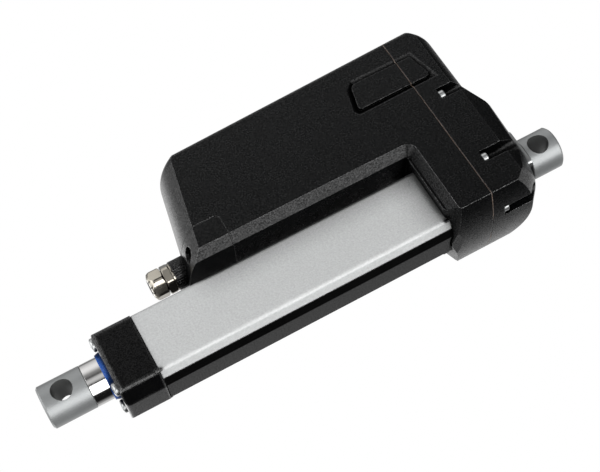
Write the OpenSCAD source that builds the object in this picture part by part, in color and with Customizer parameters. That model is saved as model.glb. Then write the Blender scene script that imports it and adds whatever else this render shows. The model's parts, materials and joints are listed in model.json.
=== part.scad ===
// Linear actuator: a ball-screw push rod in a covered tube, with a parallel motor housing above it.
// Frame: origin on the rear pin axis, X along the rod (the rod leaves toward -X), Z up to the motor.
// All sizes in millimetres, drawn with the rod fully retracted.

/* [Travel and pins] */
// Travel of the push rod
stroke = 150; // [150:10:400]
// Bore of both fixing holes, for a 12 mm pin
pin_bore = 12.2; // [10:0.1:14]
// Diameter of both fixing adapters
adapter_d = 25; // [22:0.5:25]
// Length of the front adapter
front_adapter_len = 26; // [24:1:34]

/* [Push rod and screw] */
// Outer diameter of the push rod
rod_d = 25; // [24:0.1:25.4]
// Diameter of the ball screw thread
screw_d = 14; // [12:0.5:15]
// Bore of the cover tube in which the nut is guided
tube_bore = 30; // [29.6:0.1:30.6]

/* [Cover tube] */
// Width of the cover tube
tube_w = 36; // [35.6:0.1:38]
// Height of the tube's flat top above the rod axis
tube_top = 18.2; // [18:0.1:19]
// Depth of the trim strip's flat bottom below the rod axis
tube_bottom = 25; // [24.6:0.1:25]
// Width of the trim strip's flat bottom
bottom_w = 15.8; // [14:0.2:17]
// Length of the front cap
cap_len = 24; // [22:1:26]

/* [Motor and gearbox housing] */
// Width of the housing
housing_w = 61; // [60:0.5:64]
// Height of the motor axis above the rod axis
motor_z = 57.5; // [57.5:0.5:57.5]
// Outer diameter of the motor can
motor_d = 51; // [46:0.5:52]
// Width of the sloping band along the inner edge of the housing sides
band_w = 5.8; // [4:0.1:6.4]
// Thickness of the gasket between housing and gearbox cover
gasket_t = 0.4; // [0.3:0.1:1]

/* [Gears] */
// Tooth module of all four gears
gear_m = 1.25; // [1.25:0.05:1.25]
// Backlash at the pitch circle
backlash = 0.2; // [0.1:0.05:0.3]

/* [View] */
// Piece to draw

/* [Hidden] */

$fn = 72;
fine = 360;
eps = 0.5;

// Clearances
run_gap = 0.05;
bearing_gap = 0.03;
press_gap = 0.01;
fit_gap = 0.3;

// Stations along X
front_pin_x = -(stroke + 150.3);
adapter_end_x = front_pin_x - 12.7;
rod_front_x = adapter_end_x + front_adapter_len;
cap_x0 = front_pin_x + 26.1;
cap_x1 = cap_x0 + cap_len - 0.4;
tube_x0 = cap_x0 + cap_len;
tube_x1 = -66;
seal_t = 0.6;
wall_x0 = tube_x1 + seal_t;
wall_x1 = -55.5;
seam_x = -47;
seam_a = seam_x - gasket_t / 2;
seam_b = seam_x + gasket_t / 2;
chamber_x = -62;
motor_wall_x = -70;
mouth_x = -75.8;

// Heights and half widths
half_w = housing_w / 2;
rod_r = rod_d / 2;
rod_bore_r = 9;
screw_r = screw_d / 2;
journal_r = 6;
bore_r = tube_bore / 2;
tube_hw = tube_w / 2;
bottom_hw = bottom_w / 2;
flank_z = -19.6;
split_z = -22.4;
screw_y = 11.75;
screw_z = 14.8;
port_r = 2;
underside_z = 24.2;
idler_z = 30;
cover_top_z = 42.2;
cover_back_x = -183;
gland_z = 36.5;
collar_r = 8.8;
collar_x = [-217.5, -206];
nut_x = -223.7;

// Gear teeth: screw gear, small and large idler gears, pinion
screw_teeth = 34;
small_teeth = 14;
large_teeth = 32;
pinion_teeth = 12;
stage2_x = [-53, -45];
stage1_x = [-40, -33];

// Gearbox cover screws as [y, z, x of the seat]
cover_screw_at = [[26.9, 48, -37], [-26.9, 48, -37], [26.9, -0.5, -38.8], [-26.9, -0.5, -38.8],
    [-10, -23.6, -39.5]];
// Corner cover screws as [y, z]
corner_screw_at = [[19.5, 33.7], [-19.5, 33.7]];
// Positions of the tube end screws as [y, z]
end_screw_at = [[screw_y, screw_z], [-screw_y, screw_z], [screw_y, -screw_z], [-screw_y, -screw_z]];

// ---------- outlines ----------

function wrap(a) = a > 180 ? a - 360 : (a < -180 ? a + 360 : a);

// Polygon with every corner i rounded by radius r[i]
function rounded(p, r, n = 6) = [for (i = [0 : len(p) - 1])
    let (a = p[(i + len(p) - 1) % len(p)], b = p[i], c = p[(i + 1) % len(p)],
        u = (a - b) / norm(a - b), v = (c - b) / norm(c - b), h = acos(u * v) / 2,
        q = b + (u + v) / norm(u + v) * r[i] / sin(h), s = b + u * r[i] / tan(h) - q,
        e = b + v * r[i] / tan(h) - q, a0 = atan2(s[1], s[0]), sweep = wrap(atan2(e[1], e[0]) - a0),
        steps = r[i] > 0 ? n : 0)
    for (k = [0 : steps]) r[i] > 0 ? q + r[i] * [cos(a0 + sweep * k / n), sin(a0 + sweep * k / n)] : b];

// Section of tube and strip: flat top, upright sides, slanted flanks and a flat bottom, grown by g
function tube_outline(g) = rounded([[tube_hw + g, tube_top + g], [-tube_hw - g, tube_top + g],
    [-tube_hw - g, flank_z - g * 0.6], [-bottom_hw - g * 0.6, -tube_bottom - g],
    [bottom_hw + g * 0.6, -tube_bottom - g], [tube_hw + g, flank_z - g * 0.6]], [3, 3, 3, 0.8, 0.8, 3]);

// Involute tooth flank point at radius r, as an angle from the tooth centre
function inv(a) = tan(a) * 180 / PI - a;
function flank(r, rb, half) = half - inv(acos(min(1, rb / r)));

// Spur gear outline with a tooth centred on +x
function gear_outline(z, n = 5) =
    let (rp = gear_m * z / 2, rb = rp * cos(20), ra = rp + 0.8 * gear_m, rf = rp - 1.05 * gear_m,
        r0 = max(rb, rf), pitch_half = (PI * gear_m / 2 - backlash / 2) / rp * 90 / PI,
        half = pitch_half + inv(20), radii = [for (k = [0 : n]) r0 + (ra - r0) * k / n])
    [for (t = [0 : z - 1]) let (c = 360 * t / z)
        each concat([polar(rf, c - flank(r0, rb, half) - 0.5)],
            [for (k = [0 : n]) polar(radii[k], c - flank(radii[k], rb, half))],
            [for (k = [0 : n]) polar(radii[n - k], c + flank(radii[n - k], rb, half))],
            [polar(rf, c + flank(r0, rb, half) + 0.5)])];
function polar(r, a) = r * [cos(a), sin(a)];

// ---------- placing helpers ----------

module rod_x(r, x0, x1, y = 0, z = 0) translate([x0, y, z]) rotate([0, 90, 0]) cylinder(r = r, h = x1 - x0);
module cone_x(r0, r1, x0, x1, y = 0, z = 0) translate([x0, y, z]) rotate([0, 90, 0])
    cylinder(r1 = r0, r2 = r1, h = x1 - x0);
module ring_x(r_out, r_in, x0, x1, y = 0, z = 0) difference() {
    rod_x(r_out, x0, x1, y, z);
    rod_x(r_in, x0 - eps, x1 + eps, y, z);
}
module box(x, y, z) translate([x[0], y[0], z[0]]) cube([x[1] - x[0], y[1] - y[0], z[1] - z[0]]);
module section_x(x0, x1) translate([x0, 0, 0]) rotate([90, 0, 90]) linear_extrude(x1 - x0) children();
module side_y(y0, y1) translate([0, y1, 0]) rotate([90, 0, 0]) linear_extrude(y1 - y0) children();
module both_sides() {
    children();
    mirror([0, 1, 0]) children();
}
module pin_hole(x) translate([x, 0, 0]) rotate([90, 0, 0]) cylinder(d = pin_bore, h = 2 * adapter_d, center = true);
module gear_x(z, x, phase, axis_z, bore) difference() {
    translate([0, 0, axis_z]) section_x(x[0], x[1]) rotate(phase) polygon(gear_outline(z));
    rod_x(bore, x[0] - eps, x[1] + eps, 0, axis_z);
}

// Cap screw along X with its head toward dir, seat at x, shank length len
module cap_screw(x, y, z, dir, len, r_head, h_head, r_shank) translate([x, y, z]) rotate([0, 90 * dir, 0])
    difference() {
        union() {
            cylinder(r = r_head, h = h_head - 0.5);
            translate([0, 0, h_head - 0.5]) cylinder(r1 = r_head, r2 = r_head - 0.5, h = 0.5);
            translate([0, 0, -len]) cylinder(r = r_shank, h = len + 0.2);
        }
        translate([0, 0, h_head - 1.8]) cylinder(r = r_head * 0.55, h = 2, $fn = 6);
    }

// ---------- housing envelope ----------

nose_tilt = 11;
nose_r = 48.8;
nose_top = 56;
nose_round = 8;
nose_flat_x = -27;
tail_c = -56.8;
crown_r = 118;
crown_z = 95.6;
belly_r = 105.6;
belly_z = 78.1;

// Sides and arched crown, sloping down 2 degrees toward the front
module crown_prism() translate([seam_x, 0, 0]) rotate([0, -2, 0]) translate([-seam_x, 0, 0])
    section_x(-240, 20) polygon(rounded(concat([[half_w, -60], [half_w, crown_z]],
        [for (k = [-4 : 4]) let (y = -k * 6.3) [y, crown_z + 4 - crown_r + sqrt(crown_r * crown_r - y * y)]],
        [[-half_w, crown_z], [-half_w, -60]]), [0, 2.5, 0, 0, 0, 0, 0, 0, 0, 0, 0, 2.5, 0]));

// Leaning nose, round in plan, with a rounded top edge
module nose() translate([-163.2, 0, 24]) rotate([0, nose_tilt, 0]) {
    rotate_extrude($fn = 180) polygon(concat([[0, -60], [nose_r, -60]],
        [for (k = [0 : 9]) [nose_r - nose_round, nose_top] + polar(nose_round, 73 * k / 9)], [[0, nose_top + 20.5]]));
    translate([nose_flat_x, -60, -90]) cube([290, 120, 260]);
}

// Tail, round in plan, stepping out below the motor
module tail() {
    translate([tail_c, 0, 0]) rotate_extrude($fn = 180)
        polygon(rounded([[0, -32], [32.5, -32], [44.5, -18.5], [47.4, -4], [48.8, 33], [42.5, 52], [42.5, 95.5],
            [0, 108]], [0, 0, 9, 20, 6, 8, 8, 0]));
    box([-260, tail_c], [-60, 60], [-60, 120]);
}

// Space kept free below the motor for the tube, with the sloping bands along its edge
module tube_space() {
    box([-260, mouth_x], [-60, 60], [-60, underside_z]);
    section_x(-260, -73) polygon([[band_y(), underside_z], [band_y() + 2 * band_w, underside_z + 2 * band_dx],
        [60, -60], [-60, -60], [-band_y() - 2 * band_w, underside_z + 2 * band_dx], [-band_y(), underside_z]]);
    both_sides() {
        translate([0, 0, -60]) linear_extrude(60 + 22.6)
            polygon([[-90, 17.6], [mouth_x, 17.6], [band_x - 1.2, band_y() - 1], [band_x + 0.3, band_y() - 0.7],
                [band_x, band_y()], [band_x + 2 * band_dx, band_y() + 2 * band_w], [-90, 60]]);
        translate([-73, band_y(), 22.6]) rotate([-90, 0, 0])
            cylinder(r1 = 1.6, r2 = 1.6 + 2 * band_dx, h = 2 * band_w);
        translate([band_x, band_y(), mouth_z]) rotate([0, -27, -16.6]) box([-30, 0], [-60, 40], [-50, 40]);
    }
    side_y(-60, 60) polygon([[-90, -21.8], [-76, -25.6], [-66.6, -27.6], [-60, -29], [-60, -60], [-90, -60]]);
}
mouth_z = -16.4;
band_x = -71.4;
band_dx = 4.4;
function band_y() = half_w - band_w;

// Whole outer shape of motor housing and gearbox cover
module envelope() difference() {
    intersection() {
        crown_prism();
        translate([-250, 0, belly_z]) rotate([0, 90, 0]) cylinder(r = belly_r, h = 260, $fn = fine);
        nose();
        tail();
    }
    tube_space();
    both_sides() translate([0, 0, -60]) linear_extrude(200)
        polygon([[-26.4, half_w + 1], [-17, half_w - 5], [-5, half_w - 12.7], [10, 60], [-26.4, 60]]);
}

// Sunken frame around a plain panel on each side, across the seam, its outer walls sloping inward
groove_slope = 32;
groove_edge = [[-85.2, 61.7], [-82.8, 58.7], [-30.6, 59.6], [-36.3, 82], [-76.3, 82], [-81.2, 77.2]];
module panel_groove() both_sides() difference() {
    intersection_for(i = [0 : len(groove_edge) - 1])
        let (p = groove_edge[i], d = groove_edge[(i + 1) % len(groove_edge)] - p)
        translate([p[0], half_w, p[1]]) rotate([0, -atan2(d[1], d[0]), 0]) rotate([groove_slope, 0, 0])
            box([-100, 100], [0, 60], [-20, 100]);
    side_y(half_w - 15, half_w + 5)
        polygon(rounded([[-81.6, 62], [-77.4, 79.2], [-38.2, 79.2], [-34, 62.4]], [2, 3.6, 1.4, 2]));
}

// Block taken out of the housing for the cable corner cover, enlarged by g
module corner_block(g) side_y(-60, 60)
    polygon(rounded([[-240, -10], [cover_back_x + g, -10], [cover_back_x + g, cover_top_z + g],
        [-240, cover_top_z + g]], [0, 0, 3, 0]));

// Room for the gears between x0 and x1
module gear_room(x0, x1, r) {
    rod_x(r, x0, x1);
    box([x0, x1], [-r, r], [0, 40]);
    box([x0, x1], [-19, 19], [39, 84]);
}

module cover_screw_holes(r, x0, x1) for (p = cover_screw_at) rod_x(r, x0, x1, p[0], p[1]);

// ---------- push rod ----------

module front_adapter() color([0.78, 0.78, 0.80]) difference() {
    union() {
        cone_x(adapter_d / 2 - 1, adapter_d / 2, adapter_end_x, adapter_end_x + 1);
        rod_x(adapter_d / 2, adapter_end_x + 1, rod_front_x - 0.5);
        cone_x(adapter_d / 2, adapter_d / 2 - 0.5, rod_front_x - 0.5, rod_front_x);
        rod_x(rod_bore_r - press_gap, rod_front_x - 0.3, rod_front_x + 20);
    }
    pin_hole(front_pin_x);
}

module extension_tube() color([0.85, 0.86, 0.88]) ring_x(rod_r, rod_bore_r, rod_front_x, -98);

module ball_nut() color([0.55, 0.56, 0.58]) difference() {
    union() {
        rod_x(rod_bore_r - press_gap, -104, -97.5);
        rod_x(bore_r - 0.5, -98, -94);
        rod_x(bore_r - 1.2, -94.5, -76);
    }
    rod_x(screw_r + run_gap, -105, -75);
}

module nut_guide_ring() color([0.90, 0.88, 0.80]) difference() {
    union() {
        rod_x(bore_r - run_gap, -93.5, -81);
        box([-93.5, -81], [-bore_r - 1.15, bore_r + 1.15], [-1.95, 1.95]);
    }
    rod_x(bore_r - 1.2 + press_gap, -95, -80);
}

// ---------- front cap ----------

// Body of the front cap with rounded front edges and flat seats under the screw heads
module cap_body() intersection() {
    section_x(cap_x0, cap_x1) polygon(tube_outline(cap_grow));
    union() {
        intersection() {
            side_y(-60, 60) polygon(cap_outline(-tube_bottom - cap_grow, tube_top + cap_grow, 2.4, 2.2));
            translate([0, 0, -60]) linear_extrude(120)
                polygon(cap_outline(-tube_hw - cap_grow, tube_hw + cap_grow, 2.6, 2.6));
        }
        for (p = end_screw_at) rod_x(4.1, cap_x0, cap_x0 + 4, p[0], p[1]);
    }
}
cap_grow = 0.45;
function cap_outline(low, high, r_low, r_high) =
    rounded([[cap_x0, low], [cap_x1 + 20, low], [cap_x1 + 20, high], [cap_x0, high]], [r_low, 0, 0, r_high]);

// Small lug hugging the tube's lower corner between x0 and x1
module corner_lug(x0, x1) both_sides()
    box([x0, x1], [-tube_hw - 0.9, -tube_hw - 0.05], [flank_z - 0.9, flank_z + 0.8]);

module front_cap() color([0.08, 0.08, 0.09]) difference() {
    union() {
        cap_body();
        corner_lug(cap_x1 - 2, tube_x0 + 1.4);
    }
    rod_x(rod_r + 0.7, cap_x0 - eps, cap_x1 + eps);
    rod_x(14.5, cap_x0 - eps, cap_x0 + 4);
    rod_x(15.8, cap_x0 + 5, cap_x0 + 9.5);
    rod_x(15.5, cap_x0 + 11, cap_x1 + eps);
    for (p = end_screw_at) rod_x(2.2, cap_x0 - eps, cap_x1 + eps, p[0], p[1]);
}

module front_cap_screws() color([0.80, 0.81, 0.83])
    for (p = end_screw_at) translate([cap_x0, p[0], p[1]]) rotate([0, -90, 0]) difference() {
        union() {
            rotate_extrude() polygon(concat([[0, -36], [1.95, -36], [1.95, 0], [4, 0], [4, 1]],
                [for (k = [1 : 6]) [4 * cos(15 * k), 1 + 1.7 * sin(15 * k)]]));
        }
        translate([0, 0, 1.2]) cylinder(r = 1.9, h = 3, $fn = 6);
    }

module front_gasket() color([0.12, 0.11, 0.10]) difference() {
    section_x(cap_x1, tube_x0) polygon(tube_outline(-0.2));
    rod_x(15.6, cap_x1 - eps, tube_x0 + eps);
    for (p = end_screw_at) rod_x(2.2, cap_x1 - eps, tube_x0 + eps, p[0], p[1]);
}

module rod_wiper() color([0.02, 0.22, 0.60]) difference() {
    union() {
        rod_x(14.4, cap_x0, cap_x0 + 3.9);
        cone_x(13.3, 14.2, cap_x0 - 3, cap_x0 + 0.01);
    }
    rod_x(rod_r + 0.02, cap_x0 - 4, cap_x0 + 5);
}

module rod_seal() color([0.10, 0.10, 0.10]) ring_x(15.7, rod_r + 0.02, cap_x0 + 5.1, cap_x0 + 9.4);

module guide_bush() color([0.60, 0.50, 0.30]) ring_x(15.49, rod_r + run_gap, cap_x0 + 11.1, tube_x0);

// ---------- cover tube ----------

module cover_tube() color([0.80, 0.81, 0.82]) difference() {
    section_x(tube_x0, tube_x1) polygon(tube_outline(0));
    rod_x(bore_r, tube_x0 - eps, tube_x1 + eps);
    box([tube_x0 - eps, tube_x1 + eps], [-bore_r - 1.2, bore_r + 1.2], [-2, 2]);
    box([tube_x0 - eps, tube_x1 + eps], [-20, 20], [-30, split_z]);
    box([tube_x0 - eps, tube_x1 + eps], [-4.1, 4.1], [-30, split_z + 2.1]);
    for (p = end_screw_at) rod_x(port_r, tube_x0 - eps, tube_x1 + eps, p[0], p[1]);
}

module bottom_trim_strip() color([0.05, 0.05, 0.05]) {
    intersection() {
        section_x(tube_x0 + 0.2, tube_x1 - 0.5) polygon(tube_outline(0));
        union() {
            box([-300, 0], [-20, 20], [-30, split_z]);
            box([-300, 0], [-4, 4], [-30, split_z + 2]);
        }
    }
}

module tube_seal() color([0.12, 0.12, 0.12]) difference() {
    section_x(tube_x1, wall_x0) polygon(tube_outline(-0.2));
    rod_x(16.5, tube_x1 - eps, wall_x0 + eps);
    for (p = end_screw_at) rod_x(2.1, tube_x1 - eps, wall_x0 + eps, p[0], p[1]);
}

module tube_rear_screws() color([0.75, 0.76, 0.78])
    for (p = end_screw_at) cap_screw(-59.5, p[0], p[1], 1, 18.5, 3.2, 3.2, 1.95);

// ---------- housing ----------

module motor_housing() color([0.11, 0.11, 0.12]) difference() {
    union() {
        intersection() {
            envelope();
            box([-260, seam_a], [-60, 60], [-60, 140]);
        }
        corner_lug(mouth_x + 1.4, mouth_x + 5);
    }
    panel_groove();
    corner_block(fit_gap);
    rod_x(collar_r + fit_gap, -230, collar_x[1] + fit_gap, 0, gland_z);
    section_x(-90, wall_x0) polygon(tube_outline(0.25));
    rod_x(10, wall_x0 - eps, wall_x1 + eps);
    rod_x(13, -64, wall_x1 + eps);
    for (p = end_screw_at) {
        rod_x(2.1, wall_x0 - eps, wall_x1 + eps, p[0], p[1]);
        rod_x(3.6, -59.5, wall_x1 + eps, p[0], p[1]);
    }
    gear_room(wall_x1, seam_x + 1, 22.8);
    box([chamber_x, seam_x + 1], [-19, 19], [41, 84]);
    rod_x(7, chamber_x, wall_x1 + eps, 0, idler_z);
    rod_x(8, motor_wall_x - eps, chamber_x + eps, 0, motor_z);
    section_x(-180, motor_wall_x) polygon(rounded([[26.8, 86], [-26.8, 86], [-26.8, 30], [26.8, 30]], [6, 6, 8, 8]));
    box([-190, -179], [-21, 21], [46, 80]);
    rod_x(4, -184, -179, 0, 35);
    for (p = corner_screw_at) rod_x(1.95, -184, -180.3, p[0], p[1]);
    cover_screw_holes(2.02, -62.5, seam_x + 1);
}

module housing_gasket() color([0.36, 0.22, 0.12]) difference() {
    intersection() {
        envelope();
        box([seam_a, seam_b], [-half_w + 0.15, half_w - 0.15], [-26.9, 99]);
    }
    panel_groove();
    gear_room(seam_x - 5, seam_x + 5, 22.8);
    cover_screw_holes(2.3, seam_x - 5, seam_x + 5);
}

module gearbox_cover() color([0.11, 0.11, 0.12]) difference() {
    intersection() {
        envelope();
        box([seam_b, 10], [-60, 60], [-60, 140]);
    }
    panel_groove();
    gear_room(seam_x - 1, -43.5, 22.8);
    rod_x(19, -44, -31);
    rod_x(22, -44, -31, 0, idler_z);
    box([-44, -31], [-19, 19], [idler_z, 84]);
    box([-31.5, -24], [-19, 19], [54, 80]);
    rod_x(11, -32, -22);
    rod_x(7, -32, -25, 0, idler_z);
    difference() {
        rod_x(18.5, -32, -19);
        rod_x(14.5, -33, -18);
    }
    rod_x(8.02, -20, -5);
    section_x(-12.3, 5) polygon(rounded([[12.8, 15.9], [-12.8, 15.9], [-12.8, -9.4], [12.8, -9.4]], [2, 2, 2, 2]));
    rod_x(13, -11.5, 5);
    cover_screw_holes(2.2, seam_x - 1, -30);
    for (p = cover_screw_at) {
        rod_x(3.8, p[2], 5, p[0], p[1]);
        if (p[1] < -10) box([p[2], 5], [p[0] - 3.8, p[0] + 3.8], [-60, p[1]]);
        else if (p[0] > 0) box([p[2], 5], [p[0], 60], [p[1] - 3.8, p[1] + 3.8]);
        else box([p[2], 5], [-60, p[0]], [p[1] - 3.8, p[1] + 3.8]);
    }
}

module gearbox_cover_screws() color([0.80, 0.81, 0.83])
    for (p = cover_screw_at) cap_screw(p[2], p[0], p[1], 1, 22.5, 3.5, 3.4, 2);

// ---------- cable corner cover and gland ----------

module cable_corner_cover() color([0.09, 0.09, 0.10]) difference() {
    union() {
        intersection() {
            envelope();
            corner_block(0);
        }
        rod_x(collar_r, collar_x[0], collar_x[1], 0, gland_z);
    }
    rod_x(6.45, collar_x[0] - 1, collar_x[1] - 0.4, 0, gland_z);
    rod_x(4.9, collar_x[1] - 1, -190, 0, gland_z);
    box([-203, -186], [-14, 14], [27.2, 39.5]);
    rod_x(4, -187, -182, 0, 35);
    for (p = corner_screw_at) {
        rod_x(2.1, -230, -182, p[0], p[1]);
        rod_x(4.4, -230, -199, p[0], p[1]);
    }
    for (k = [0 : 35]) translate([0, 0, gland_z]) rotate([10 * k, 0, 0])
        rod_x(0.35, collar_x[0] - 1, collar_x[1] - 4.6, 0, collar_r + 0.1, $fn = 12);
}

module corner_cover_screws() color([0.80, 0.81, 0.83])
    for (p = corner_screw_at) cap_screw(-199, p[0], p[1], -1, 18.4, 3.8, 3.6, 1.9);

module hexagon_x(r, x0, x1) translate([x0, 0, gland_z]) rotate([0, 90, 0]) rotate(12)
    cylinder(r = r, h = x1 - x0, $fn = 6);

module gland_body() color([0.72, 0.71, 0.68]) difference() {
    union() {
        rod_x(8.4, -218.6, collar_x[0], 0, gland_z);
        intersection() {
            hexagon_x(9.2, nut_x + 0.4, -218.6);
            union() {
                cone_x(8.1, 8.7, nut_x + 0.4, nut_x + 1, 0, gland_z);
                rod_x(8.7, nut_x + 1, -219.2, 0, gland_z);
                cone_x(8.7, 8.1, -219.2, -218.6, 0, gland_z);
            }
        }
        rod_x(6.4, -229, collar_x[1] - 0.5, 0, gland_z);
    }
    rod_x(4.8, -231, -202, 0, gland_z);
}

module gland_nut() color([0.74, 0.73, 0.70]) translate([nut_x, 0, gland_z]) rotate([0, -90, 0]) difference() {
    intersection() {
        rotate_extrude() polygon(concat([[6.45, 0], [8, 0], [8.7, 0.7], [8.7, 5.4]],
            [for (k = [1 : 5]) [5.6 + 3.1 * cos(16 * k), 5.4 + 3.3 * sin(16 * k)]],
            [[4.6, 8.8], [4.6, 6.4], [6.45, 5.6]]));
        rotate(18) cylinder(r = 9.2, h = 20, $fn = 6);
    }
    for (k = [0 : 11]) rotate(30 * k) translate([5.4, -0.45, 7.7]) cube([4, 0.9, 4]);
}

module gland_seal() color([0.08, 0.08, 0.08]) ring_x(4.55, 3, -231, -220.8, 0, gland_z);

// ---------- rear adapter ----------

module rear_adapter() color([0.78, 0.78, 0.80]) difference() {
    union() {
        rod_x(8, -19.8, -8);
        cone_x(adapter_d / 2 - 0.5, adapter_d / 2, -9, -8.5);
        rod_x(adapter_d / 2, -8.5, 10.2);
        cone_x(adapter_d / 2, adapter_d / 2 - 1, 10.2, 11.2);
    }
    pin_hole(0);
}

module adapter_plate() color([0.86, 0.86, 0.86]) difference() {
    section_x(-12.3, -9.2) polygon(rounded([[12.4, 15.5], [-12.4, 15.5], [-12.4, -9], [12.4, -9]], [2, 2, 2, 2]));
    rod_x(8.05, -13, -9);
}

// ---------- bearings ----------

module bearing_x(r_out, r_in, x0, x1, z) difference() {
    rod_x(r_out, x0, x1, 0, z);
    rod_x(r_in, x0 - eps, x1 + eps, 0, z);
    for (x = [x0 - 1, x1 - 0.4]) difference() {
        rod_x(r_out * 0.85, x, x + 1.4, 0, z);
        rod_x(r_in * 1.25, x - eps, x + 2, 0, z);
    }
}

module screw_bearings() color([0.65, 0.66, 0.68]) {
    bearing_x(12.99, journal_r + bearing_gap, -64, -57, 0);
    bearing_x(10.99, 5 + bearing_gap, -29, -22.2, 0);
}

module bearing_retainer() color([0.35, 0.35, 0.36]) difference() {
    ring_x(12.99, 10.8, -57, -55.8);
    box([-58, -55], [-2.5, 2.5], [8, 14]);
}

module idler_bushes() color([0.60, 0.50, 0.30]) {
    ring_x(6.99, 4 + bearing_gap, chamber_x + 0.1, -56, 0, idler_z);
    ring_x(6.99, 4 + bearing_gap, -30.8, -25.1, 0, idler_z);
}

// ---------- motor ----------

module motor_can() color([0.45, 0.45, 0.47]) ring_x(motor_d / 2, motor_d / 2 - 2, -176, -74, 0, motor_z);

module motor_end_caps() color([0.50, 0.50, 0.52]) for (x = [[-179.5, -176], [-74, -70.2]]) difference() {
    rod_x(motor_d / 2, x[0], x[1], 0, motor_z);
    rod_x(4 + bearing_gap, x[0] - eps, x[1] + eps, 0, motor_z);
    for (a = [45, 225]) rod_x(1.6, x[0] - eps, x[1] + eps, 19 * cos(a), motor_z + 19 * sin(a));
}

module motor_magnets() color([0.20, 0.20, 0.22]) for (a = [0, 180]) translate([0, 0, motor_z]) rotate([a, 0, 0])
    intersection() {
        ring_x(motor_d / 2 - 2.02, 19.5, -168, -98);
        translate([-170, -30, 9]) cube([80, 60, 30]);
    }

module brush_holder() color([0.30, 0.22, 0.14]) difference() {
    union() {
        ring_x(motor_d / 2 - 2.05, 14, -90, -84, 0, motor_z);
        for (s = [-1, 1]) box([-90, -84], [s * 12.5 - 4, s * 12.5 + 4], [motor_z - 3, motor_z + 3]);
    }
    rod_x(9 + run_gap, -91, -83, 0, motor_z);
}

module circuit_board() color([0.05, 0.30, 0.12]) box([-188.6, -187], [-19, 19], [48, 78]);

module board_connector() color([0.85, 0.84, 0.80]) difference() {
    box([-187, -181], [-9, 9], [50, 56]);
    for (k = [-3 : 3]) box([-184, -180], [k * 2.3 - 0.7, k * 2.3 + 0.7], [51.5, 54.5]);
}

module position_sensor() color([0.10, 0.12, 0.16]) {
    box([-62, -56], [-8, 8], [72, 83]);
    box([-56.2, -53], [-3, 3], [74, 80]);
}

// ---------- turning pieces ----------

module ball_screw() color([0.70, 0.71, 0.73]) {
    rod_x(4, front_pin_x + 38.3, front_pin_x + 46);
    rod_x(screw_r, front_pin_x + 45.3, -64);
    rod_x(journal_r, -64.5, -29);
    rod_x(5, -29.5, -22.4);
}

module screw_gear() color([0.75, 0.72, 0.62]) gear_x(screw_teeth, stage2_x, 90, 0, journal_r + press_gap);

module screw_lock_nut() color([0.35, 0.35, 0.37]) difference() {
    rod_x(8.8, -45, -41);
    rod_x(journal_r + press_gap, -46, -40);
    for (a = [0 : 90 : 270]) rotate([a, 0, 0]) box([-46, -40], [-1.5, 1.5], [7.4, 10]);
}

module screw_support_bush() color([0.90, 0.88, 0.80])
    ring_x(rod_bore_r - run_gap, 4 + press_gap, front_pin_x + 38.3, front_pin_x + 45);

module idler_shaft() color([0.70, 0.71, 0.73]) rod_x(4, -61.5, -25.4, 0, idler_z);

module idler_gear_small() color([0.62, 0.63, 0.65])
    gear_x(small_teeth, stage2_x, -90 + 180 / small_teeth, idler_z, 4 + press_gap);

module idler_gear_large() color([0.75, 0.72, 0.62]) difference() {
    gear_x(large_teeth, stage1_x, 90, idler_z, 4 + press_gap);
    for (x = [stage1_x[0] - 1, stage1_x[1] - 1.5]) ring_x(15, 8, x, x + 2.5, 0, idler_z);
}

module motor_shaft() color([0.70, 0.71, 0.73]) rod_x(4, -180.5, -31, 0, motor_z);

module motor_armature() color([0.55, 0.38, 0.22]) difference() {
    rod_x(18.8, -166, -100, 0, motor_z);
    rod_x(4 + press_gap, -167, -99, 0, motor_z);
    for (k = [0 : 11]) translate([0, 0, motor_z]) rotate([30 * k, 0, 0]) box([-167, -99], [-1, 1], [9, 20]);
}

module motor_commutator() color([0.72, 0.42, 0.22]) difference() {
    rod_x(9, -92, -82, 0, motor_z);
    rod_x(4 + press_gap, -93, -81, 0, motor_z);
    for (k = [0 : 11]) translate([0, 0, motor_z]) rotate([30 * k + 15, 0, 0]) box([-93, -81], [-0.3, 0.3], [8.2, 10]);
}

module motor_pinion() color([0.62, 0.63, 0.65])
    gear_x(pinion_teeth, [stage1_x[0] - 0.5, stage1_x[1] + 0.5], -90 + 180 / pinion_teeth, motor_z, 4 + press_gap);

front_adapter();
extension_tube();
ball_nut();
nut_guide_ring();
front_cap();
front_cap_screws();
front_gasket();
rod_wiper();
rod_seal();
guide_bush();
cover_tube();
bottom_trim_strip();
tube_seal();
tube_rear_screws();
motor_housing();
housing_gasket();
gearbox_cover();
gearbox_cover_screws();
cable_corner_cover();
corner_cover_screws();
gland_body();
gland_nut();
gland_seal();
rear_adapter();
adapter_plate();
screw_bearings();
bearing_retainer();
idler_bushes();
motor_can();
motor_end_caps();
motor_magnets();
brush_holder();
circuit_board();
board_connector();
position_sensor();
ball_screw();
screw_gear();
screw_lock_nut();
screw_support_bush();
idler_shaft();
idler_gear_large();
idler_gear_small();
motor_shaft();
motor_armature();
motor_commutator();
motor_pinion();
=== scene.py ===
import json
import math

import bpy
from mathutils import Matrix, Vector


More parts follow.
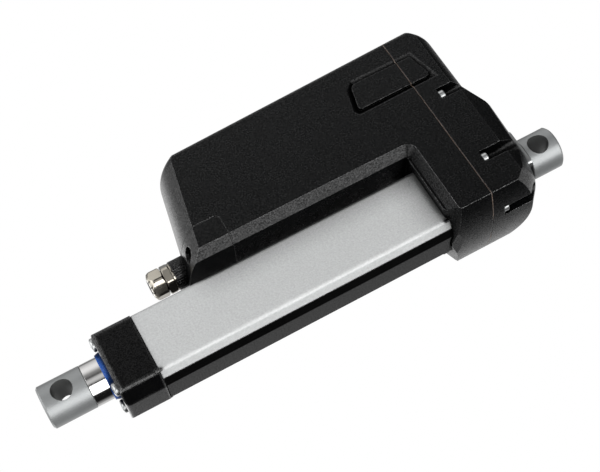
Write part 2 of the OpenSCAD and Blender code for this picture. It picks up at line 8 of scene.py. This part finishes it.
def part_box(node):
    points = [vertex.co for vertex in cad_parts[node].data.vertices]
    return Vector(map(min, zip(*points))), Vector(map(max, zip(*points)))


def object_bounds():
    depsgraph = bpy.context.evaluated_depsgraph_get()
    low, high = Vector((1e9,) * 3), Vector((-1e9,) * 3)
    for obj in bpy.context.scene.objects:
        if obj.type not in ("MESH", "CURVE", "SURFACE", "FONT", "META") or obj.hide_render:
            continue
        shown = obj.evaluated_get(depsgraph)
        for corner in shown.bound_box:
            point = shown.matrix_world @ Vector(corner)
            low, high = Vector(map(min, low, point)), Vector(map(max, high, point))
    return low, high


# The push rod points toward -X, the object's near side faces -Y, and its motor housing is above the rod.
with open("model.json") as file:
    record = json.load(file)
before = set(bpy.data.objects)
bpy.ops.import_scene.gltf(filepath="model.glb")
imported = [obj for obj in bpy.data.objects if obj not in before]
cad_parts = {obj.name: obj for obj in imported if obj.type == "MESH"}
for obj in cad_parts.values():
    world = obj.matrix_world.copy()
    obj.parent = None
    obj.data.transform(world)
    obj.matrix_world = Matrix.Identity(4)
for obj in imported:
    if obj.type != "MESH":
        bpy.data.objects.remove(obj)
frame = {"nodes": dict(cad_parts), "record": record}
cad_low, cad_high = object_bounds()
middle = (cad_low + cad_high) / 2

MM = 0.001
WHITE = (1.0, 1.0, 1.0, 1.0)
BLACK = (0.0, 0.0, 0.0, 1.0)


# ---------- shader helpers ----------

class Tree:
    """Short names for making and linking shader nodes."""

    def __init__(self, tree):
        self.tree = tree
        tree.nodes.clear()

    def add(self, kind, **settings):
        node = self.tree.nodes.new(kind)
        for key, value in settings.items():
            setattr(node, key, value)
        return node

    def put(self, target, value):
        """Links a socket or sets a plain value."""
        if isinstance(value, bpy.types.NodeSocket):
            self.tree.links.new(value, target)
        else:
            target.default_value = value

    def math(self, op, a, b=0.0, clamp=False):
        node = self.add("ShaderNodeMath", operation=op, use_clamp=clamp)
        self.put(node.inputs[0], a)
        self.put(node.inputs[1], b)
        return node.outputs[0]

    def vector_math(self, op, a, b, output):
        node = self.add("ShaderNodeVectorMath", operation=op)
        self.put(node.inputs[0], a)
        self.put(node.inputs[1], b)
        return node.outputs[output]

    def ramp(self, value, low, high, out_low=0.0, out_high=1.0, smooth=False):
        """Maps low..high to out_low..out_high, and stays at the end values outside."""
        node = self.add("ShaderNodeMapRange", interpolation_type="SMOOTHSTEP" if smooth else "LINEAR")
        self.put(node.inputs["Value"], value)
        self.put(node.inputs["From Min"], low)
        self.put(node.inputs["From Max"], high)
        self.put(node.inputs["To Min"], out_low)
        self.put(node.inputs["To Max"], out_high)
        return node.outputs["Result"]

    def mix(self, factor, a, b):
        """Colour a where factor is 0 and b where it is 1."""
        node = self.add("ShaderNodeMix", data_type="RGBA")
        self.put(node.inputs["Factor"], factor)
        self.put(node.inputs["A"], a)
        self.put(node.inputs["B"], b)
        return node.outputs["Result"]

    def coords(self):
        return self.add("ShaderNodeTexCoord").outputs["Object"]

    def split(self, vector):
        node = self.add("ShaderNodeSeparateXYZ")
        self.put(node.inputs[0], vector)
        return node.outputs["X"], node.outputs["Y"], node.outputs["Z"]

    def noise(self, vector, scale, detail, rough):
        node = self.add("ShaderNodeTexNoise")
        self.put(node.inputs["Vector"], vector)
        self.put(node.inputs["Scale"], scale)
        self.put(node.inputs["Detail"], detail)
        self.put(node.inputs["Roughness"], rough)
        return node.outputs["Fac"]

    def bump(self, height, strength, distance, normal):
        node = self.add("ShaderNodeBump")
        self.put(node.inputs["Height"], height)
        self.put(node.inputs["Strength"], strength)
        self.put(node.inputs["Distance"], distance)
        self.put(node.inputs["Normal"], normal)
        return node.outputs["Normal"]

    def choose(self, factor, shader_a, shader_b):
        """Shader a where factor is 0 and b where it is 1."""
        node = self.add("ShaderNodeMixShader")
        self.put(node.inputs[0], factor)
        self.put(node.inputs[1], shader_a)
        self.put(node.inputs[2], shader_b)
        return node.outputs[0]

    def diffuse(self, color):
        node = self.add("ShaderNodeBsdfDiffuse")
        self.put(node.inputs["Color"], color)
        return node.outputs[0]

    def background(self, strength):
        node = self.add("ShaderNodeBackground")
        self.put(node.inputs["Color"], WHITE)
        self.put(node.inputs["Strength"], strength)
        return node.outputs[0]

    def surface(self, shader, kind="ShaderNodeOutputMaterial"):
        self.put(self.add(kind).inputs["Surface"], shader)


def new_material(name):
    material = bpy.data.materials.new(name)
    material.use_nodes = True
    return material, Tree(material.node_tree)


def tint(color, factor=1.0, shift=0.0):
    """The colour times factor plus shift, at most white, as a colour with alpha."""
    return tuple(min(1.0, part * factor + shift) for part in color) + (1.0,)


def grey(level):
    return tint((level, level, level))


# ---------- surface effects ----------

# scale per metre, detail and roughness of the noises; the scale of the grain is given by each material
COAT_GRAIN = (2.0, 0.6)
COAT_CLOUDS = (35.0, 4.0, 0.55)
COAT_SMEARS = (140.0, 5.0, 0.6)
METAL_GRAIN = (3.0, 0.6)
METAL_CLOUDS = (60.0, 4.0, 0.55)
RING_CHANGE = 40.0                   # how fast turning marks change across the rod, per metre

EDGE_SAMPLES = 4
EDGE_NONE, EDGE_FULL = 0.999, 0.93   # cosine between face and rounding where an edge begins and is full
GAP_SHADE_SAMPLES = 8
OPEN = 0.97                          # share of the surroundings in view above which a surface gets no painted shade
BORE_SKIN = 0.12 * MM                # a point this little outside a bore's radius is still on its wall

PINS = [mount for mount in frame["record"]["mounts"] if mount["name"] in ("rear_pin", "front_pin")]


def rounded_edges(t, radius):
    """Rounded-edge normal, and a mask that is 1 along edges."""
    bevel = t.add("ShaderNodeBevel", samples=EDGE_SAMPLES)
    t.put(bevel.inputs["Radius"], radius)
    rounded = bevel.outputs["Normal"]
    face = t.add("ShaderNodeNewGeometry").outputs["Normal"]
    return rounded, t.ramp(t.vector_math("DOT_PRODUCT", rounded, face, "Value"), EDGE_NONE, EDGE_FULL)


def painted_gap_shade(t, reach, closed, darkest):
    """Painted shade: 1 on open surfaces, falling to darkest in gaps where only the share closed is still in
    view.
    """
    node = t.add("ShaderNodeAmbientOcclusion", samples=GAP_SHADE_SAMPLES)
    t.put(node.inputs["Distance"], reach)
    return t.ramp(node.outputs["AO"], closed, OPEN, darkest, 1.0)


def in_pin_bores(t, at):
    """1 on the walls of the two pin bores, which run along Y, and 0 elsewhere."""
    x, _, z = t.split(at)
    found = 0.0
    for pin in PINS:
        centre = Vector(pin["pos_m"])
        radius = pin["dims"]["r_mm"] * MM + BORE_SKIN
        across = t.math("POWER", t.math("SUBTRACT", x, centre.x), 2.0)
        up = t.math("POWER", t.math("SUBTRACT", z, centre.z), 2.0)
        inside = t.math("LESS_THAN", t.math("ADD", across, up), radius ** 2)
        found = t.math("MAXIMUM", inside, found)
    return found


def turning_marks(t, at, scale):
    """Fine rings around the rod axis on cylinders and end faces alike, with slow changes across them."""
    x, y, z = t.split(at)
    squares = t.math("ADD", t.math("POWER", y, 2.0), t.math("POWER", z, 2.0))
    along = t.math("ADD", x, t.math("POWER", squares, 0.5))
    rings = t.add("ShaderNodeCombineXYZ")
    t.put(rings.inputs["X"], t.math("MULTIPLY", along, scale))
    t.put(rings.inputs["Y"], t.math("MULTIPLY", y, RING_CHANGE))
    return t.noise(rings.outputs[0], 1.0, *METAL_GRAIN)


def finish_material(t, color, roughness, metallic, normal, specular=0.5):
    shader = t.add("ShaderNodeBsdfPrincipled")
    t.put(shader.inputs["Base Color"], color)
    t.put(shader.inputs["Roughness"], roughness)
    t.put(shader.inputs["Metallic"], metallic)
    t.put(shader.inputs["Specular IOR Level"], specular)
    t.put(shader.inputs["Normal"], normal)
    t.surface(shader.outputs[0])


# ---------- material kinds ----------

MATERIALS = {}                       # finished materials by the name of their slot

# ranges of a noise over which an effect comes in
MIDDLE = (0.30, 0.70)                # most of the noise
SPECKS = (0.42, 0.72)
WEAR_AND_HIGHLIGHT = (0.35, 0.70)
GLINTS = (0.38, 0.62)
POLISH = (0.30, 0.60)
TONES = (0.25, 0.75)

COAT_SMEAR_ROUGHNESS = (-0.015, 0.020)
COAT_GRAIN_ROUGHNESS = (-0.03, 0.03)
COAT_GLINT = 0.6                     # share of the sheen by which the grain changes it
COAT_EDGE_POLISH = (1.0, 4.0)        # how many times the sheen is added again along edges
COAT_BUMP = 0.6
COAT_GAP_SHADE = (5 * MM, 0.76, 0.12)   # reach, closed and darkest of the painted shade in gaps
# colour of the painted shade in gaps
GAP_SHADE_BLACK = grey(0.0002)

METAL_CLOUD_ROUGHNESS = 0.1          # share of the roughness by which the clouds change it
METAL_GRAIN_ROUGHNESS = (-0.04, 0.04)
METAL_EDGE = 0.3 * MM                # radius of rounded edges
METAL_EDGE_HIGHLIGHT = 0.6               # how far edges go toward the brighter colour of the painted highlight
METAL_EDGE_HIGHLIGHT_LIFT = 1.15
METAL_BUMP = 0.5
# colour of the painted shade on the walls of the pin bores
BORE_SHADE_COLOR = (0.055, 0.057, 0.056, 1.0)
BORE_ROUGHNESS = 0.55


def add_coated(name, color, rough, grain, depth, edge=0.4 * MM, specular=0.4, lift=2.5, mottle=0.25,
               speckle=0.0, wear_and_highlight=0.01, shade_gaps=True):
    """Painted or moulded surface: fine grain, cloudy tone, pale specks, edge wear and painted edge
    highlights.

    grain and depth are the scale and height of the grain, and edge is the radius of the rounded edges.
    Edges get, in spots, the colour times lift plus wear_and_highlight, as wear and as a painted highlight.
    mottle is the strength of the clouds and speckle that of the pale specks. shade_gaps paints shade into
    grooves and gaps.
    """
    material, t = new_material(name)
    at = t.coords()
    fine = t.noise(at, grain, *COAT_GRAIN)
    clouds = t.noise(at, *COAT_CLOUDS)
    smears = t.noise(at, *COAT_SMEARS)
    normal, rim = rounded_edges(t, edge)

    cloudy = t.mix(t.ramp(clouds, *MIDDLE), tint(color, 1 - mottle), tint(color, 1 + mottle))
    specked = t.mix(t.ramp(fine, *SPECKS), cloudy, tint(color, shift=speckle))
    # edges lighter in spots: partly wear, partly a painted highlight
    edge_wear_and_highlight = t.math("MULTIPLY", rim, t.ramp(smears, *WEAR_AND_HIGHLIGHT))
    shown = t.mix(edge_wear_and_highlight, specked, tint(color, lift, wear_and_highlight))

    smeared = t.math("ADD", t.ramp(smears, *MIDDLE, *COAT_SMEAR_ROUGHNESS), rough)
    roughness = t.math("ADD", smeared, t.ramp(fine, *MIDDLE, *COAT_GRAIN_ROUGHNESS))

    grained = t.ramp(fine, *GLINTS, specular * (1 - COAT_GLINT), specular * (1 + COAT_GLINT))
    polish = t.math("MULTIPLY", rim, t.ramp(fine, *POLISH, *COAT_EDGE_POLISH))
    sheen = t.math("MULTIPLY", grained, t.math("ADD", polish, 1.0))

    # painted shade in grooves and gaps, on the colour and on the sheen
    if shade_gaps:
        clear = painted_gap_shade(t, *COAT_GAP_SHADE)
        shown = t.mix(clear, GAP_SHADE_BLACK, shown)
        sheen = t.math("MULTIPLY", sheen, clear)
    finish_material(t, shown, roughness, 0.0, t.bump(fine, COAT_BUMP, depth, normal), sheen)
    MATERIALS[name] = material


def add_metal(name, color, rough, grain=900.0, depth=0.02 * MM, stretch=(1.0, 1.0, 1.0), metallic=1.0,
              turned=0.0, dirt=0.15, tone=0.35, spread=0.08, bores=False, gap_shade=None):
    """Metal: grain or turning marks, broad tone changes and painted highlights on the edges.

    turned is the scale of turning marks, which take the place of the grain. dirt is how much broad clouds
    darken the colour, and tone is how far the grain goes toward a colour that is lighter by spread. bores
    paints shade on the walls of the pin bores, and gap_shade is the reach, closed and darkest of the
    painted shade in gaps.
    """
    material, t = new_material(name)
    at = t.coords()
    clouds = t.noise(at, *METAL_CLOUDS)
    if turned:
        fine = turning_marks(t, at, turned)
    else:
        fine = t.noise(t.vector_math("MULTIPLY", at, stretch, "Vector"), grain, *METAL_GRAIN)
    normal, rim = rounded_edges(t, METAL_EDGE)

    cloudy = t.mix(t.ramp(clouds, *MIDDLE), tint(color, 1 - dirt), tint(color))
    toned = t.mix(t.ramp(fine, *TONES, 0.0, tone), cloudy, tint(color, 1 + spread))
    # painted highlight along the edges
    shown = t.mix(t.math("MULTIPLY", rim, METAL_EDGE_HIGHLIGHT), toned, tint(color, METAL_EDGE_HIGHLIGHT_LIFT))

    smoothest, roughest = rough * (1 - METAL_CLOUD_ROUGHNESS), rough * (1 + METAL_CLOUD_ROUGHNESS)
    clouded = t.ramp(clouds, *MIDDLE, smoothest, roughest)
    roughness = t.math("ADD", clouded, t.ramp(fine, *MIDDLE, *METAL_GRAIN_ROUGHNESS), clamp=True)

    # painted shade on the walls of the pin bores, which are also made rougher
    if bores:
        bored = in_pin_bores(t, at)
        shown = t.mix(bored, shown, BORE_SHADE_COLOR)
        roughness = t.math("MAXIMUM", roughness, t.math("MULTIPLY", bored, BORE_ROUGHNESS))
    # painted shade in gaps and creases
    if gap_shade:
        shown = t.mix(painted_gap_shade(t, *gap_shade), BLACK, shown)
    finish_material(t, shown, roughness, metallic, t.bump(fine, METAL_BUMP, depth, normal))
    MATERIALS[name] = material


# ---------- materials, one per slot of the record ----------

HOUSING_COLOR = (0.0010, 0.0011, 0.0012)
# edges lighter in spots, as wear and as a painted highlight
HOUSING_TEXTURE = {"grain": 1250.0, "depth": 0.2 * MM, "speckle": 0.0022, "wear_and_highlight": 0.03}

# push rod, adapters and outer fittings
# satin_steel gets painted shade in its pin bores
add_metal("satin_steel", (0.19, 0.197, 0.198), rough=0.38, turned=5200.0, depth=0.03 * MM, metallic=0.5,
          bores=True)
add_metal("chromed_rod", (0.46, 0.455, 0.45), rough=0.09, turned=2500.0, depth=0.003 * MM, dirt=0.05)
# zinc_screw, nickel and tube_aluminium get painted shade in gaps; on the tube it is a painted shadow of the
# housing along its top
add_metal("zinc_screw", (0.42, 0.43, 0.43), rough=0.34, grain=1500.0, depth=0.01 * MM,
          gap_shade=(3 * MM, 0.55, 0.30))
add_metal("nickel", (0.30, 0.28, 0.24), rough=0.08, grain=1200.0, depth=0.01 * MM,
          gap_shade=(4 * MM, 0.70, 0.08))
add_metal("tube_aluminium", (0.315, 0.32, 0.32), rough=0.52, grain=1050.0, depth=0.3 * MM, metallic=0.3,
          stretch=(0.8, 1.0, 1.0), dirt=0.03, tone=1.0, spread=0.35, gap_shade=(22 * MM, 0.70, 0.06))
# the cap's lighter edges are partly a painted highlight
add_coated("black_cap", (0.0010, 0.0010, 0.0011), rough=0.16, grain=1500.0, depth=0.06 * MM,
           edge=1.8 * MM, specular=0.20, speckle=0.0004, wear_and_highlight=0.05)
add_coated("black_strip", (0.0015, 0.0015, 0.0015), rough=0.14, grain=1200.0, depth=0.01 * MM,
           specular=0.14)
add_coated("blue_wiper", (0.0, 0.060, 0.30), rough=0.42, grain=1800.0, depth=0.02 * MM, lift=1.3)

# housing
add_coated("black_housing", HOUSING_COLOR, rough=0.25, specular=0.185, **HOUSING_TEXTURE)
add_coated("dark_plastic", HOUSING_COLOR, rough=0.22, specular=0.195, **HOUSING_TEXTURE)
add_coated("brown_gasket", (0.045, 0.024, 0.012), rough=0.6, grain=1500.0, depth=0.03 * MM, shade_gaps=False)
add_coated("black_rubber", (0.012, 0.012, 0.012), rough=0.6, grain=1500.0, depth=0.04 * MM)

# screw, gears and bearings
add_metal("ground_steel", (0.55, 0.56, 0.58), rough=0.25, turned=4000.0)
add_metal("dark_steel", (0.22, 0.22, 0.24), rough=0.35, grain=1500.0)
add_metal("bearing_bronze", (0.50, 0.36, 0.18), rough=0.4, grain=1500.0)
add_coated("pale_plastic", (0.72, 0.69, 0.58), rough=0.45, grain=1200.0, depth=0.02 * MM, lift=1.1,
           mottle=0.05)

# motor and electronics
add_metal("motor_steel", (0.40, 0.40, 0.41), rough=0.36, grain=800.0, stretch=(0.2, 1.0, 1.0))
add_metal("copper_winding", (0.60, 0.28, 0.12), rough=0.32, grain=1800.0, depth=0.1 * MM,
          stretch=(0.15, 1.0, 1.0))
add_coated("magnet_ferrite", (0.05, 0.05, 0.055), rough=0.55, grain=1200.0, depth=0.05 * MM)
add_coated("brush_plastic", (0.20, 0.11, 0.05), rough=0.5, grain=1200.0, depth=0.03 * MM)
add_coated("board_green", (0.02, 0.16, 0.06), rough=0.3, grain=900.0, depth=0.02 * MM)

for row in frame["record"]["subparts"]:
    slots = frame["nodes"][row["node"]].data.materials
    slots.clear()
    slots.append(MATERIALS[row["material_slot"]])


# ---------- stage ----------

AMBIENT = 0.015

# direction toward the light, degrees within which it is full, degrees beyond which it is gone, strength
LOBES = [
    ((-0.15, 1.0, 0.15), 12, 64, 0.98),     # far side, broad
    ((-0.50, 0.82, 0.35), 6, 28, 1.5),      # far side, toward the rod end
    ((0.18, -0.55, -0.82), 23, 29, 6.4),    # near side, from below, with a crisp rim
    ((0.18, -0.97, -0.15), 6, 22, 1.2),     # near side, level
    ((-0.65, -0.75, 0.10), 16, 34, 3.0),    # near side, toward the rod end
    ((-0.33, -0.66, 0.67), 12, 48, 0.55),   # near side, from above
    ((-0.83, -0.19, -0.55), 12, 30, 4.0),   # rod end, from below
    ((-0.90, 0.0, 0.42), 12, 40, 2.1),      # rod end, from above
    ((0.3, -0.3, 1.0), 15, 50, 1.2),        # top
    ((0.95, 0.10, -0.30), 10, 26, 1.2),     # rear end
    ((0.80, 0.60, -0.10), 8, 34, 0.8),      # rear end, toward the far side
]


def world_light():
    """White to the camera; to the object, a soft studio built of broad lobes of light."""
    world = bpy.data.worlds.new("studio")
    bpy.context.scene.world = world
    world.use_nodes = True
    t = Tree(world.node_tree)
    where = t.add("ShaderNodeTexCoord").outputs["Generated"]
    total = AMBIENT
    for direction, inner, outer, strength in LOBES:
        near = t.vector_math("DOT_PRODUCT", where, Vector(direction).normalized(), "Value")
        rim, core = math.cos(math.radians(outer)), math.cos(math.radians(inner))
        total = t.math("ADD", t.ramp(near, rim, core, 0.0, strength, smooth=True), total)
    seen = t.add("ShaderNodeLightPath").outputs["Is Camera Ray"]
    t.surface(t.choose(seen, t.background(total), t.background(1.0)), "ShaderNodeOutputWorld")


def make_floor():
    """Pale floor under the object. It is see-through from below and throws no light on the object."""
    width = 60.0                     # so that its edge is far off
    drop = 0.5 * MM
    tone = (6.0, 3.0, 0.5)           # scale, detail and roughness of its faint clouds
    material, t = new_material("floor_pale")
    pale = t.diffuse(t.mix(t.noise(t.coords(), *tone), grey(0.80), grey(0.84)))
    below = t.add("ShaderNodeNewGeometry").outputs["Backfacing"]
    t.surface(t.choose(below, pale, t.add("ShaderNodeBsdfTransparent").outputs[0]))

    bpy.ops.mesh.primitive_plane_add(size=width, location=(middle.x, middle.y, cad_low.z - drop))
    floor = bpy.context.object
    floor.name = "floor"
    floor.data.materials.append(material)
    floor.visible_diffuse = False
    floor.visible_glossy = False
    floor.visible_shadow = False


def make_flag():
    """Unseen card behind the gap between housing and tube, to keep stray light out of the gap."""
    tone = (40.0, 3.0, 0.5)
    _, tube_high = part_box("cover_tube")
    cover_low, cover_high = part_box("cable_corner_cover")
    front, rear = cover_high.x - 17 * MM, tube_high.x - 12 * MM
    bottom, top = tube_high.z - 0.2 * MM, cover_low.z + 0.4 * MM
    far = cad_high.y + 0.8 * MM
    corners = [(front, far, bottom), (rear, far, bottom), (rear, far, top), (front, far, top)]
    mesh = bpy.data.meshes.new("flag")
    mesh.from_pydata(corners, [], [(0, 1, 2, 3)])

    material, t = new_material("flag_black")
    t.surface(t.diffuse(t.mix(t.noise(t.coords(), *tone), grey(0.004), grey(0.008))))
    mesh.materials.append(material)
    flag = bpy.data.objects.new("flag", mesh)
    bpy.context.scene.collection.objects.link(flag)
    flag.visible_camera = False


def make_camera():
    """Camera at the photograph's viewing angle: below and in front of the object, looking up and rolled."""
    heading, climb, roll = -11.6408, 27.0080, -32.4003        # degrees
    distance = 749.79 * MM
    aim = middle + Vector((7.08, 0.0, -13.43)) * MM           # what the centre of the picture shows
    data = bpy.data.cameras.new("camera")
    data.sensor_width = 36.0
    data.lens = 79.07
    data.clip_start = 10 * MM
    camera = bpy.data.objects.new("camera", data)
    bpy.context.scene.collection.objects.link(camera)
    turn = (Matrix.Rotation(math.radians(heading), 4, "Z")
            @ Matrix.Rotation(math.radians(90 + climb), 4, "X")
            @ Matrix.Rotation(math.radians(roll), 4, "Z"))
    camera.matrix_world = Matrix.Translation(aim) @ turn @ Matrix.Translation((0.0, 0.0, distance))
    bpy.context.scene.camera = camera


world_light()
make_floor()
make_flag()
make_camera()
bpy.context.scene.view_settings.view_transform = "Standard"
